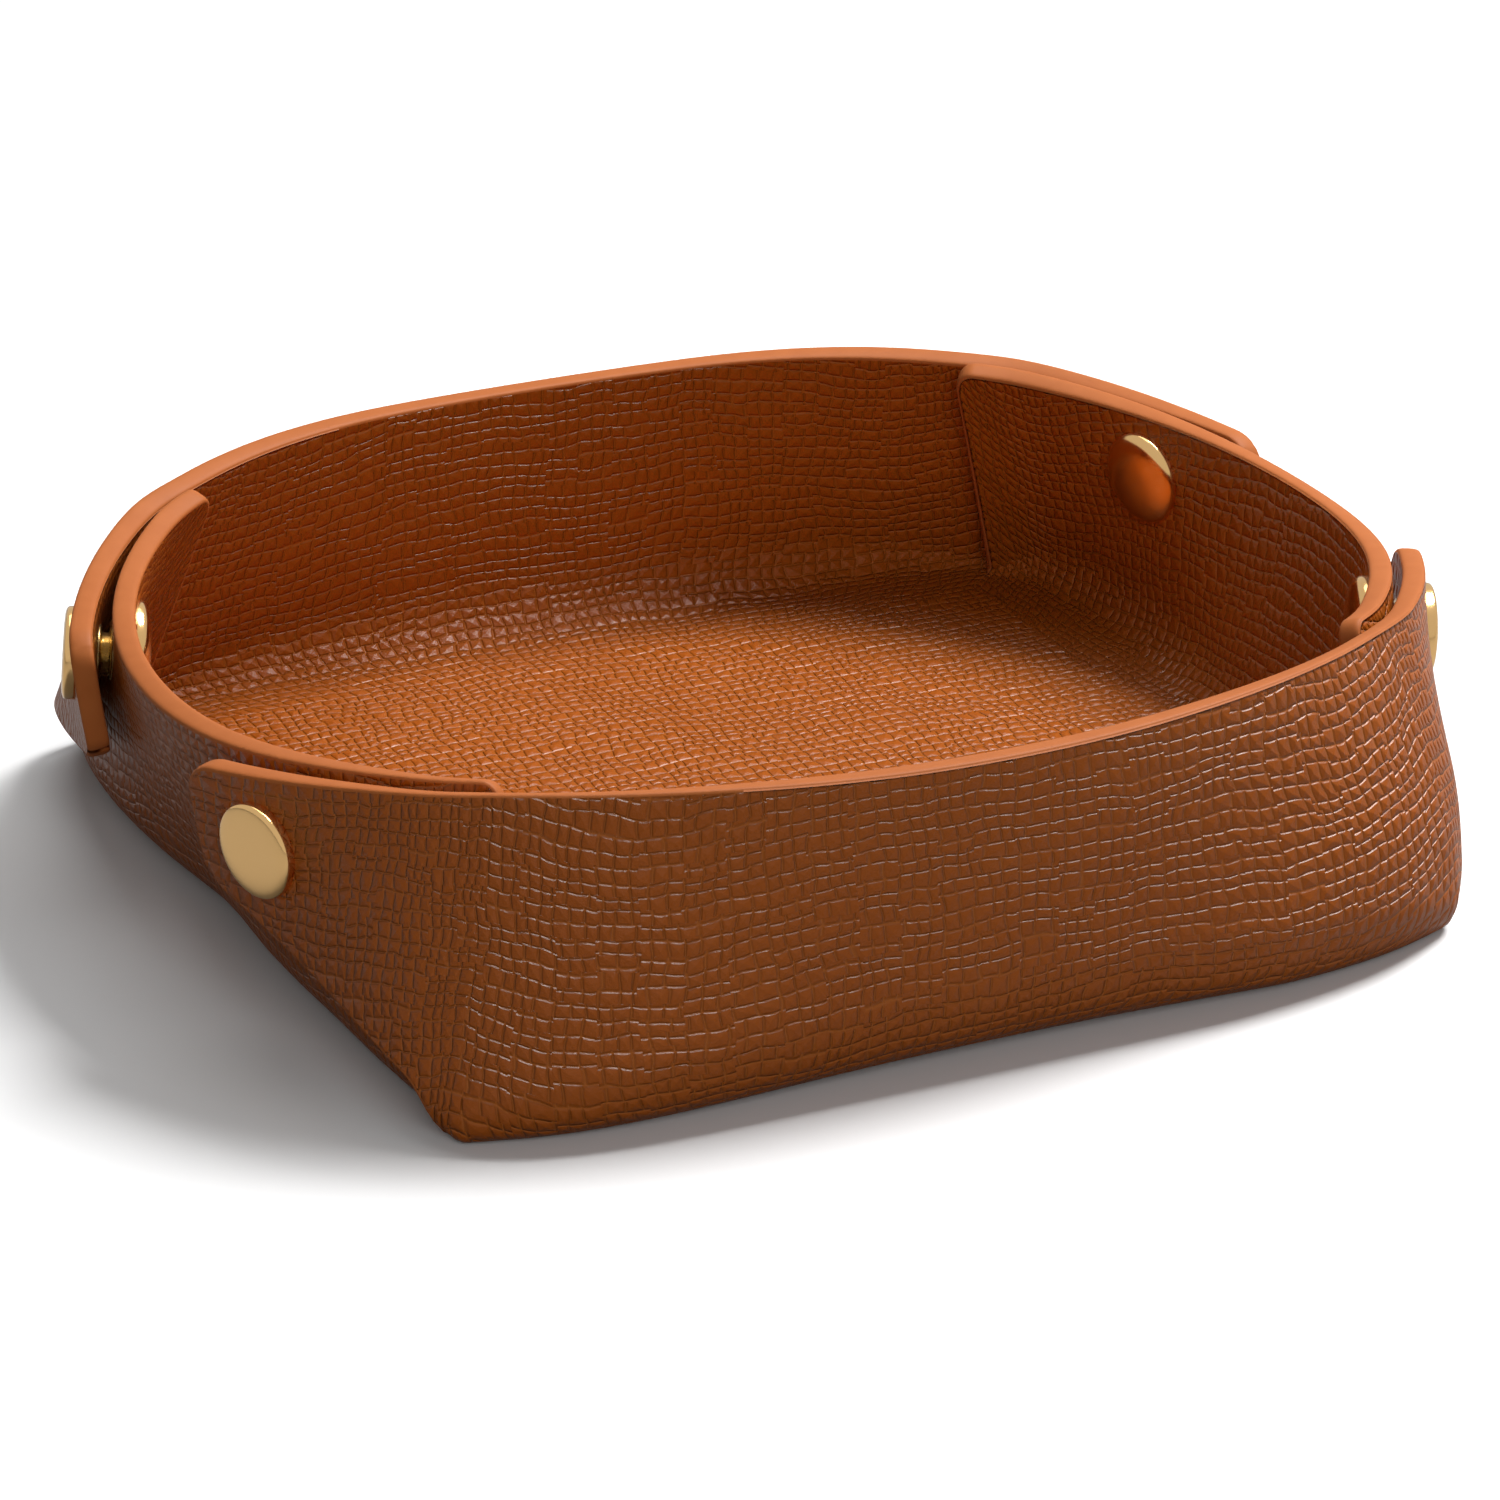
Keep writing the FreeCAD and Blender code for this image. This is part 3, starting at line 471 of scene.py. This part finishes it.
def corner_piece(corner, materials):
    """A quarter of the front or back wall that goes on round the corner as an ear, cut to a slanting lower
    edge that leaves the floor at the corner: its height falls by a power of the share of the way to the
    ear's end."""
    x, y, end, _, _ = EARS[corner]
    reach = (1 - end) * PANEL_HALF
    hide = Hide()
    seam = np.abs(COLUMNS) <= SEAM_ALONG * PANEL_HALF + WALL_STEP
    first = np.flatnonzero(seam)[-2] - 1
    front_travel = COLUMNS[first:] - PANEL_HALF
    ear_travel = steps_fine_at_end(0, reach - EDGE_ROUND)[1:]
    rows, count = int(np.sum(FOOT_CLIMB < 1)), len(front_travel)

    # Front wall: drops of its rows, then the same rows drawn up as the ear grows lower.
    along = (1 + front_travel / PANEL_HALF)[:, None]
    front_drop = drop_at("front", along, WALL_CLIMB[None, :])
    root = front_drop[-1, rows:]
    travel = ear_travel[:, None] + 0 * root[None, :]
    share = travel / reach
    height = root[0] - root[-1] - EDGE_ROUND * smooth_step(travel / FINE_REACH)
    height = height - EAR_LIFT * smooth_step(travel / EAR_LIFT_REACH)
    height = height - (height - EAR_END_HEIGHT) * share**EAR_LOW_POWER
    low = (root - root[-1]) / (root[0] - root[-1])
    off_end, off_rim = rounded_corner(reach - EDGE_ROUND - travel, low * height, FLAP_ROUND)
    low_end, off_low = rounded_corner(reach - EDGE_ROUND - travel, (1 - low) * height, EAR_LOW_ROUND)
    off_end = np.maximum(off_end, low_end)
    ear_drop = off_rim - off_low + (1 - low) * height + root[-1]
    travel = np.concatenate([front_travel[:, None] + 0 * root[None, :], reach - EDGE_ROUND - off_end])
    drop = np.concatenate([front_drop[:, rows:], ear_drop])
    front_soft = smooth_step(WALL_CLIMB[rows:] - 1)[None, :] + 0 * front_drop[:, rows:]
    soft = np.concatenate([front_soft, 1 + 0 * ear_drop]) * (1 - CREASE_LOW_LOSS * (1 - low))
    wall = soft_corner(corner, travel, drop, soft)
    foot = wall_middle("front", along, WALL_CLIMB[None, :rows])
    front = np.concatenate([foot, wall[:count]], 1)

    whole = drop_at("front", 1 + np.minimum(travel, 0) / PANEL_HALF, 0 * travel)
    wall_pattern = np.stack([PANEL_HALF + travel, drop - whole - PANEL_HALF], -1) * (x, y)
    foot_pattern = np.stack([PANEL_HALF + front_travel[:, None] + 0 * foot[..., 0],
                             front_drop[:, :rows] - front_drop[:, :1] - PANEL_HALF], -1) * (x, y)
    front_pattern = np.concatenate([foot_pattern, wall_pattern[:count]], 1)

    front, wall = mirrored(front, x, y), mirrored(wall, x, y)
    wall_normal, front_normal = surface_normals(wall), surface_normals(front)
    flip = wall_normal[count // 2, -1, 1] * y > 0
    wall_normal = -wall_normal if flip else wall_normal
    front_normal = -front_normal if flip else front_normal
    front_normal[:, rows + 2:] = wall_normal[:count, 2:]
    wall_normal[:count, :2] = front_normal[:, rows:rows + 2]
    hide.faces_of(front[1:], front_normal[1:], front_pattern[1:], flip)
    ear = slice(count - 1, None)
    hide.faces_of(wall[ear], wall_normal[ear], wall_pattern[ear], flip)

    # Painted edge: rim, ear end and slanting lower edge in one run, then the plain end of the foot.
    last, top = len(wall) - 1, wall.shape[1] - 1
    border = [(i, top) for i in range(1, last + 1)] + [(last, j) for j in range(top - 1, -1, -1)]
    border += [(i, 0) for i in range(last - 1, count - 2, -1)]
    bulge = np.full(travel.shape, EDGE_ROUND)
    free_border(hide, wall, wall_normal, wall_pattern, border, bulge, flip)
    border = [(count - 1, j) for j in range(rows, -1, -1)]
    bulge = np.full(front.shape[:2], FOOT_EDGE_ROUND)
    free_border(hide, front, front_normal, front_pattern, border, bulge, flip)
    return hide.mesh(corner + "_wrapped_leather", materials)


# A patch of three by three places a millimetre apart, from which a snap's direction is taken.
PATCH_ALONG, PATCH_DROP = np.meshgrid((-1.0, 0.0, 1.0), (1.0, 0.0, -1.0), indexing="ij")


def on_ear(corner):
    """Centre and outward direction of a snap on the middle of an ear's leather, in millimetres."""
    x, y = EARS[corner][:2]
    travel = (1 - SNAP_ALONG) * PANEL_HALF + PATCH_ALONG
    return snap_place(mirrored(corner_middle(corner, travel, SNAP_DROP + PATCH_DROP), x, y), x, y)


def on_side(corner):
    """Centre and outward direction of a snap on the middle of the side wall's leather, in millimetres."""
    x, y = EARS[corner][:2]
    along = -SNAP_ALONG + PATCH_ALONG / PANEL_HALF
    wall = "side" if y > 0 else "rear"
    climb = climb_at(wall, along, SNAP_DROP + PATCH_DROP)
    return snap_place(mirrored(wall_middle(wall, along, climb), x, y), x, y)


def snap_place(points, x, y):
    """Middle of a patch and its normal, turned away from the tray."""
    normal = surface_normals(points)[1, 1]
    return points[1, 1], normal * np.sign(normal @ np.array((x, 0.0, 0.0)))


def lathe(name, centre, axis, radius, height, material, sweep=1.0):
    """A profile of radii and heights turned about an axis: centre + axis h + (u cos a + v sin a) r."""
    u = np.cross(axis, (0.0, 0.0, 1.0))
    u /= np.linalg.norm(u)
    v = np.cross(axis, u)
    angle = np.linspace(0, 2 * np.pi * sweep, TURN_POINTS)[:, None, None]
    radius, height = np.asarray(radius)[None, :, None], np.asarray(height)[None, :, None]
    points = centre + axis * height + (u * np.cos(angle) + v * np.sin(angle)) * radius
    data = bpy.data.meshes.new(name)
    data.from_pydata(points.reshape(-1, 3) * MM, [], grid_faces(*points.shape[:2], flip=True).tolist())
    data.materials.append(material)
    return finished(name, data)


def cap_profile(radius, height, squareness):
    """Half a superellipse over a sunk flat base: r = R cos^(2/n), h = H sin^(2/n)."""
    turn = np.linspace(0, np.pi / 2, CAP_POINTS)
    r = np.concatenate([[0, radius - CAP_FOOT_BEVEL, radius], radius * np.cos(turn) ** (2 / squareness)])
    h = np.concatenate([[-CAP_SINK, -CAP_SINK, -CAP_SINK + CAP_FOOT_BEVEL],
                        height * np.sin(turn) ** (2 / squareness)])
    r[-1] = 0
    return r, h


def socket_profile():
    """A pressed ring seen from its mouth: flange, upright cup wall and a lip rolled in."""
    corners_r = (0.0, SOCKET_RADIUS, SOCKET_RADIUS, SOCKET_CUP + 0.3, SOCKET_CUP, SOCKET_CUP,
                 SOCKET_CUP - 0.15, SOCKET_MOUTH + 0.1, SOCKET_MOUTH, SOCKET_MOUTH, SOCKET_MOUTH, 0.0)
    corners_h = (-0.2, -0.2, 0.3, 0.42, 0.7, SOCKET_HEIGHT - 0.25, SOCKET_HEIGHT - 0.05,
                 SOCKET_HEIGHT, SOCKET_HEIGHT - 0.1, SOCKET_HEIGHT - 0.5, 0.35, 0.35)
    return corners_r, corners_h


def stud_profile():
    """A pressed stud: a thin flange on the leather, a narrow neck and a head that is rounded over."""
    corners_r = (0.0, STUD_RADIUS, STUD_RADIUS, STUD_RADIUS - 0.3, STUD_NECK, STUD_NECK,
                 STUD_HEAD - 0.1, STUD_HEAD, STUD_HEAD - 0.1, STUD_HEAD - 0.6, 0.0)
    corners_h = (-0.2, -0.2, 0.15, 0.28, 0.35, STUD_HEIGHT - 0.55, STUD_HEIGHT - 0.4, STUD_HEIGHT - 0.25,
                 STUD_HEIGHT - 0.12, STUD_HEIGHT, STUD_HEIGHT)
    return corners_r, corners_h


def spring_profile():
    """A round wire's circle about the spring's radius."""
    turn = np.linspace(0, 2 * np.pi, WIRE_POINTS)
    level = SOCKET_HEIGHT - SPRING_BELOW_MOUTH
    return SPRING_RADIUS + SPRING_WIRE * np.cos(turn), level + SPRING_WIRE * np.sin(turn)


def linear(code):
    """An sRGB hex colour as linear RGBA."""
    srgb = np.array([int(code[i:i + 2], 16) for i in (1, 3, 5)]) / 255
    rgb = np.where(srgb <= 0.04045, srgb / 12.92, ((srgb + 0.055) / 1.055) ** 2.4)
    return (*rgb.tolist(), 1.0)


def new_material(name):
    """An empty node material and its node tree."""
    material = bpy.data.materials.new(name)
    material.use_nodes = True
    material.node_tree.nodes.clear()
    return material, material.node_tree


def add(tree, kind, inputs=None, **settings):
    """Adds one node: settings go on the node, inputs are values or sockets to link."""
    node = tree.nodes.new(kind)
    for key, value in settings.items():
        setattr(node, key, value)
    for key, value in (inputs or {}).items():
        if isinstance(value, bpy.types.NodeSocket):
            tree.links.new(value, node.inputs[key])
        else:
            node.inputs[key].default_value = value
    return node


def embossed_leather(name, shift):
    """Full-grain cowhide, pressed with a cross-grain plate and lightly waxed: level and upright grooves a
    little over two millimetres apart wander, break off against each other and leave pillowed, finely
    pebbled cells. Lengths are in millimetres on the flat pattern."""
    cell_wide, cell_high, run, groove, pebble, blotch, depth = 2.15, 2.25, 5.6, 0.3, 0.35, 35.0, 0.2
    step_reach, step_share, band_spread, pillow_rise, pebble_rise = 7.0, 1.7, 3.7, 1.5, 0.4
    material, tree = new_material(name)
    flat = add(tree, "ShaderNodeAttribute", attribute_name="flat")
    place = add(tree, "ShaderNodeVectorMath", {0: flat.outputs["Vector"], 1: (shift, shift, 0.0)},
                operation="ADD")
    pulled = place
    for wander, pull in ((24.0, 5.0), (4.5, 1.3)):
        drift = add(tree, "ShaderNodeTexNoise",
                    {"Vector": place.outputs[0], "Scale": 1 / wander, "Detail": 1.0})
        swing = add(tree, "ShaderNodeVectorMath", {0: drift.outputs["Color"], 1: (0.5, 0.5, 0.5)},
                    operation="SUBTRACT")
        pulled = add(tree, "ShaderNodeVectorMath",
                     {0: swing.outputs[0], 1: (pull, pull, 0.0), 2: pulled.outputs[0]},
                     operation="MULTIPLY_ADD")
    axes = add(tree, "ShaderNodeSeparateXYZ", {0: pulled.outputs[0]})

    # Level grooves step up or down from one run of cells to the next, upright ones sideways by rows.
    across, along = axes.outputs["X"], axes.outputs["Y"]
    grooves = []
    for block, other, own, size in ((run, across, along, cell_high), (cell_high, along, across, cell_wide)):
        band = add(tree, "ShaderNodeMath", {0: other, 1: block}, operation="SNAP")
        spread = add(tree, "ShaderNodeMath", {0: band.outputs[0], 1: band_spread}, operation="MULTIPLY")
        spot = add(tree, "ShaderNodeCombineXYZ", {"X": spread.outputs[0], "Y": own})
        step = add(tree, "ShaderNodeTexNoise",
                   {"Vector": spot.outputs[0], "Scale": 1 / step_reach, "Detail": 1.0})
        moved = add(tree, "ShaderNodeMath", {0: step.outputs["Fac"], 1: step_share * size, 2: own},
                    operation="MULTIPLY_ADD")
        grooves.append(add(tree, "ShaderNodeMath", {0: moved.outputs[0], 1: size / 2}, operation="PINGPONG"))
    nearest = add(tree, "ShaderNodeMath", {0: grooves[0].outputs[0], 1: grooves[1].outputs[0], 2: groove},
                  operation="SMOOTH_MIN")
    cell = add(tree, "ShaderNodeMapRange", {"Value": nearest.outputs[0], "From Min": 0.0, "From Max": groove},
               interpolation_type="SMOOTHSTEP")
    pillow = add(tree, "ShaderNodeMath",
                 {0: nearest.outputs[0], 1: pillow_rise, 2: cell.outputs["Result"]}, operation="MULTIPLY_ADD")
    fine = add(tree, "ShaderNodeTexNoise", {"Vector": place.outputs[0], "Scale": 1 / pebble, "Detail": 2.0})
    relief = add(tree, "ShaderNodeMath", {0: fine.outputs["Fac"], 1: pebble_rise, 2: pillow.outputs[0]},
                 operation="MULTIPLY_ADD")
    bump = add(tree, "ShaderNodeBump", {"Height": relief.outputs[0], "Strength": 1.0, "Distance": depth * MM})
    cloud = add(tree, "ShaderNodeTexNoise", {"Vector": place.outputs[0], "Scale": 1 / blotch, "Detail": 3.0})
    hue = add(tree, "ShaderNodeMix",
              {"Factor": cloud.outputs["Fac"], 6: linear("#94490F"), 7: linear("#A35312")}, data_type="RGBA")
    tone = add(tree, "ShaderNodeMix",
               {"Factor": cell.outputs["Result"], 6: linear("#A2571B"), 7: hue.outputs[2]}, data_type="RGBA")
    shader = add(tree, "ShaderNodeBsdfPrincipled",
                 {"Base Color": tone.outputs[2], "Roughness": 0.34, "IOR": 1.5, "Specular IOR Level": 0.22,
                  "Normal": bump.outputs[0]})
    add(tree, "ShaderNodeOutputMaterial", {"Surface": shader.outputs[0]})
    return material


def edge_paint():
    """Acrylic edge paint, brushed on in coats and burnished: a smooth terracotta bead with faint ripples."""
    ripple, depth = 4.0, 0.12
    material, tree = new_material("brushed acrylic edge paint")
    place = add(tree, "ShaderNodeTexCoord")
    waves = add(tree, "ShaderNodeTexNoise",
                {"Vector": place.outputs["Object"], "Scale": 1 / (ripple * MM), "Detail": 2.0})
    tone = add(tree, "ShaderNodeMix",
               {"Factor": waves.outputs["Fac"], 6: linear("#A45B2C"), 7: linear("#B06534")}, data_type="RGBA")
    bump = add(tree, "ShaderNodeBump",
               {"Height": waves.outputs["Fac"], "Strength": 0.35, "Distance": depth * MM})
    shader = add(tree, "ShaderNodeBsdfPrincipled",
                 {"Base Color": tone.outputs[2], "Roughness": 0.55, "Normal": bump.outputs[0],
                  "Specular IOR Level": 0.08})
    add(tree, "ShaderNodeOutputMaterial", {"Surface": shader.outputs[0]})
    return material


def plated_metal(name, code, rough):
    """Metal pressed or drawn, plated and polished: a near mirror with fine handling haze."""
    haze, haze_rough = 1.5, 0.1
    material, tree = new_material(name)
    place = add(tree, "ShaderNodeTexCoord")
    marks = add(tree, "ShaderNodeTexNoise",
                {"Vector": place.outputs["Object"], "Scale": 1 / (haze * MM), "Detail": 4.0})
    gloss = add(tree, "ShaderNodeMapRange",
                {"Value": marks.outputs["Fac"], "To Min": rough, "To Max": rough + haze_rough})
    shader = add(tree, "ShaderNodeBsdfPrincipled",
                 {"Base Color": linear(code), "Metallic": 1.0, "Roughness": gloss.outputs["Result"]})
    add(tree, "ShaderNodeOutputMaterial", {"Surface": shader.outputs[0]})
    return material


OUTER = embossed_leather("cross-grain pressed cowhide, outer", 0.0)
LINING = embossed_leather("cross-grain pressed cowhide, lining", 431.0)
PAINT = edge_paint()
GOLD = plated_metal("polished pale gold plate", "#F5C684", 0.1)
BRASS = plated_metal("pressed brass", "#D9B877", 0.22)
WIRE = plated_metal("drawn bronze wire", "#C9A86A", 0.25)
LEATHERS = (OUTER, LINING, PAINT)

# The base, the side walls and the middles of the front and back walls are one piece.
body = Hide()
base_panel(body)
for sign in (1, -1):
    side_flap(body, sign)
    front_middle(body, sign)
tray_leather = body.mesh("tray_leather", LEATHERS)
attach(tray_leather, "tray")
WALLS = [f"{wall}_wall_{layer}" for wall in ("front", "back", "left", "right")
         for layer in ("hide", "lining")]
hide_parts("base_hide", "base_lining", *WALLS)

# Each corner's leather bends from the tray to its ear, which carries the cap, the socket and its spring.
for corner, (x, y, *_) in EARS.items():
    ear_body = corner + "_ear"
    piece = corner_piece(corner, LEATHERS)
    line = mirrored(corner_middle(corner, np.array(0.0), np.array(HINGE_DROP)), x, y) * MM
    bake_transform(piece)
    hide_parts(corner + "_ear_hide", corner + "_ear_lining")

    centre, axis = on_ear(corner)
    cap = lathe(corner + "_gold_cap", centre + axis * HALF, axis,
                *cap_profile(CAP_RADIUS, CAP_HEIGHT, CAP_SQUARENESS), GOLD)
    ring = lathe(corner + "_snap_socket", centre - axis * HALF, -axis, *socket_profile(), BRASS)
    wire = lathe(corner + "_snap_spring", centre - axis * HALF, -axis, *spring_profile(), WIRE,
                 sweep=SPRING_SWEEP)
    for part, node, slot in ((cap, "outer_cap", "gold_caps"), (ring, "socket", "press_studs"),
                             (wire, "spring", "spring_wire")):
        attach(part, ear_body)
        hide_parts(f"{corner}_{node}")

    centre, axis = on_side(corner)
    inner = lathe(corner + "_gold_inner_cap", centre - axis * HALF, -axis,
                  *cap_profile(INNER_CAP_RADIUS, INNER_CAP_HEIGHT, INNER_CAP_SQUARENESS), GOLD)
    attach(inner, "tray")
    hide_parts(corner + "_inner_cap")
    stud = lathe(corner + "_snap_stud", centre + axis * HALF, axis, *stud_profile(), BRASS)
    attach(stud, "tray")
    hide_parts(corner + "_stud")


# Floor and backdrop: what they give to rays of light and to the lens, and the share of the way between that
# reflections get. Then half the floor's width and where it fades into the backdrop, in metres.
FLOOR_LIGHT, FLOOR_LENS, FLOOR_MIRROR = 0.2, 0.94, 0.27
SKY_LIGHT, SKY_LENS, SKY_MIRROR = 0.08, 1.0, 0.6
FLOOR_HALF = 6.0
FADE_START, FADE_END = 0.3, 0.7

# Lamps: place and size in metres, then watts. The fill shows in no reflection, the sheen in nothing else.
LAMPS = {
    "key": ((0.73, 0.12, 1.06), 0.5, 24.0),
    "top": ((0.1, 0.45, 1.2), 0.8, 4.0),
    "fill": ((-0.32, -1.25, 0.6), 0.9, 6.4),
    "sheen": ((0.42, 0.1, 1.2), 0.6, 27.0),
}

# The photograph's camera: angles in degrees, target, distance and lens in millimetres.
AZIMUTH, ELEVATION, ROLL = -23.173, 22.885, -1.156
TARGET, DISTANCE = (-1.19, 0.0, 14.42), 845.5
SENSOR, FOCAL = 36.0, 127.72
CLIP_END = 50.0


def seen_share(tree, mirror):
    """The light path, and a node that is 1 for the lens, a share for reflections and 0 for the rest."""
    path = add(tree, "ShaderNodeLightPath")
    glossy = add(tree, "ShaderNodeMath", {0: path.outputs["Is Glossy Ray"], 1: mirror}, operation="MULTIPLY")
    seen = add(tree, "ShaderNodeMath", {0: path.outputs["Is Camera Ray"], 1: glossy.outputs[0]},
               operation="MAXIMUM")
    return path, seen


def white_floor():
    """A matt studio floor, white to the lens, paler in reflections than in the light that it throws back. Far
    from the tray it fades into the white backdrop, for the lens alone."""
    material, tree = new_material("white studio floor")
    path, seen = seen_share(tree, FLOOR_MIRROR)
    shade = add(tree, "ShaderNodeMapRange",
                {"Value": seen.outputs[0], "To Min": FLOOR_LIGHT, "To Max": FLOOR_LENS})
    matt = add(tree, "ShaderNodeBsdfDiffuse", {"Color": shade.outputs["Result"]})
    place = add(tree, "ShaderNodeTexCoord")
    reach = add(tree, "ShaderNodeVectorMath", {0: place.outputs["Object"]}, operation="LENGTH")
    far = add(tree, "ShaderNodeMapRange",
              {"Value": reach.outputs["Value"], "From Min": FADE_START, "From Max": FADE_END})
    fade = add(tree, "ShaderNodeMath", {0: far.outputs["Result"], 1: path.outputs["Is Camera Ray"]},
               operation="MULTIPLY")
    white = add(tree, "ShaderNodeEmission")
    both = add(tree, "ShaderNodeMixShader", {0: fade.outputs[0], 1: matt.outputs[0], 2: white.outputs[0]})
    add(tree, "ShaderNodeOutputMaterial", {"Surface": both.outputs[0]})
    return material


def studio():
    """Floor, white backdrop and soft lamps that face the tray."""
    data = bpy.data.meshes.new("studio_floor")
    half = FLOOR_HALF
    data.from_pydata([(-half, -half, 0), (half, -half, 0), (half, half, 0), (-half, half, 0)], [],
                     [(0, 1, 2, 3)])
    data.materials.append(white_floor())
    floor = bpy.data.objects.new("studio_floor", data)
    bpy.context.scene.collection.objects.link(floor)

    world = bpy.data.worlds.new("studio")
    bpy.context.scene.world = world
    world.use_nodes = True
    tree = world.node_tree
    tree.nodes.clear()
    path, seen = seen_share(tree, SKY_MIRROR)
    seen = add(tree, "ShaderNodeMath", {0: seen.outputs[0], 1: path.outputs["Is Transmission Ray"]},
               operation="MAXIMUM")
    strength = add(tree, "ShaderNodeMapRange",
                   {"Value": seen.outputs[0], "To Min": SKY_LIGHT, "To Max": SKY_LENS})
    sky = add(tree, "ShaderNodeBackground", {"Color": (1, 1, 1, 1), "Strength": strength.outputs[0]})
    add(tree, "ShaderNodeOutputWorld", {"Surface": sky.outputs[0]})

    for name, (place, size, watts) in LAMPS.items():
        lamp = bpy.data.lights.new(name, "AREA")
        lamp.size, lamp.energy = size, watts
        holder = bpy.data.objects.new(name, lamp)
        holder.visible_glossy, holder.visible_diffuse = name != "fill", name != "sheen"
        away = np.array(place) / np.linalg.norm(place)
        level = np.cross((0, 0, 1), away) / np.linalg.norm(np.cross((0, 0, 1), away))
        turn = np.stack([level, np.cross(away, level), away], 1)
        holder.matrix_world = Matrix.Translation(place) @ Matrix(turn.tolist()).to_4x4()
        bpy.context.scene.collection.objects.link(holder)


def camera():
    """Sets the photograph's camera up, for a square frame."""
    azimuth, elevation, roll = np.radians((AZIMUTH, ELEVATION, ROLL))
    back = np.array((np.sin(azimuth) * np.cos(elevation), -np.cos(azimuth) * np.cos(elevation),
                     np.sin(elevation)))
    right = np.array((np.cos(azimuth), np.sin(azimuth), 0.0))
    top = np.cross(back, right)
    turned = np.stack([np.cos(roll) * right + np.sin(roll) * top,
                       np.cos(roll) * top - np.sin(roll) * right, back], 1)
    lens = bpy.data.cameras.new("photo")
    lens.sensor_width, lens.lens = SENSOR, FOCAL
    lens.clip_end = CLIP_END
    holder = bpy.data.objects.new("photo", lens)
    eye = (np.array(TARGET) + back * DISTANCE) * MM
    holder.matrix_world = Matrix.Translation(eye.tolist()) @ Matrix(turned.tolist()).to_4x4()
    bpy.context.scene.collection.objects.link(holder)
    bpy.context.scene.camera = holder


studio()
camera()
bpy.context.scene.view_settings.view_transform = "Standard"
